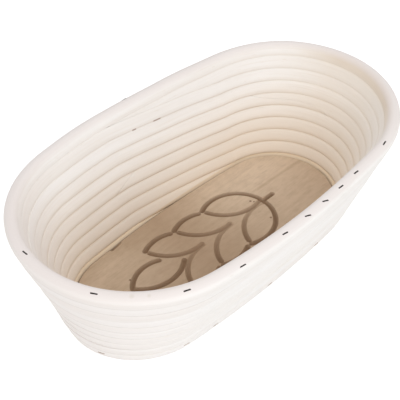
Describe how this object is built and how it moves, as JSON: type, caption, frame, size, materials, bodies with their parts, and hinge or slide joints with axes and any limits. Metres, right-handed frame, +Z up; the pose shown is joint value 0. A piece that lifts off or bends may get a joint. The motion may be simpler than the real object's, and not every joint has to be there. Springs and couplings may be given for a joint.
{
  "type": "proofing basket",
  "caption": "Oval bread proofing basket of cane wound and stapled row on row round a carved wooden base board, with a leaning wall and a closing rim row.",
  "frame": {"origin": "middle of the base board's underside, on the surface that the basket stands on", "axes": "+X along the length of the oval, towards the stalk end of the carved ear; +Y across the width, towards the long side on which the rows climb; +Z up"},
  "size_m": [0.28, 0.157, 0.0857],
  "materials": {
    "cane": "peeled rattan cane, unvarnished, matt, with long fibres along it",
    "board_wood": "sanded bare hardwood-faced board, matt, with carved grooves",
    "staple_steel": "dull dark steel wire"
  },
  "bodies": {
    "root": {"base_board": "board_wood", "lower_cane": "cane", "middle_cane": "cane", "upper_cane": "cane", "rim_cane": "cane", "row_staples_1": "staple_steel", "row_staples_2": "staple_steel", "row_staples_3": "staple_steel", "row_staples_4": "staple_steel", "row_staples_5": "staple_steel", "row_staples_6": "staple_steel", "row_staples_7": "staple_steel", "row_staples_8": "staple_steel", "rim_staples": "staple_steel", "rim_splice_staples": "staple_steel", "base_staples": "staple_steel"}
  },
  "joints": []
}
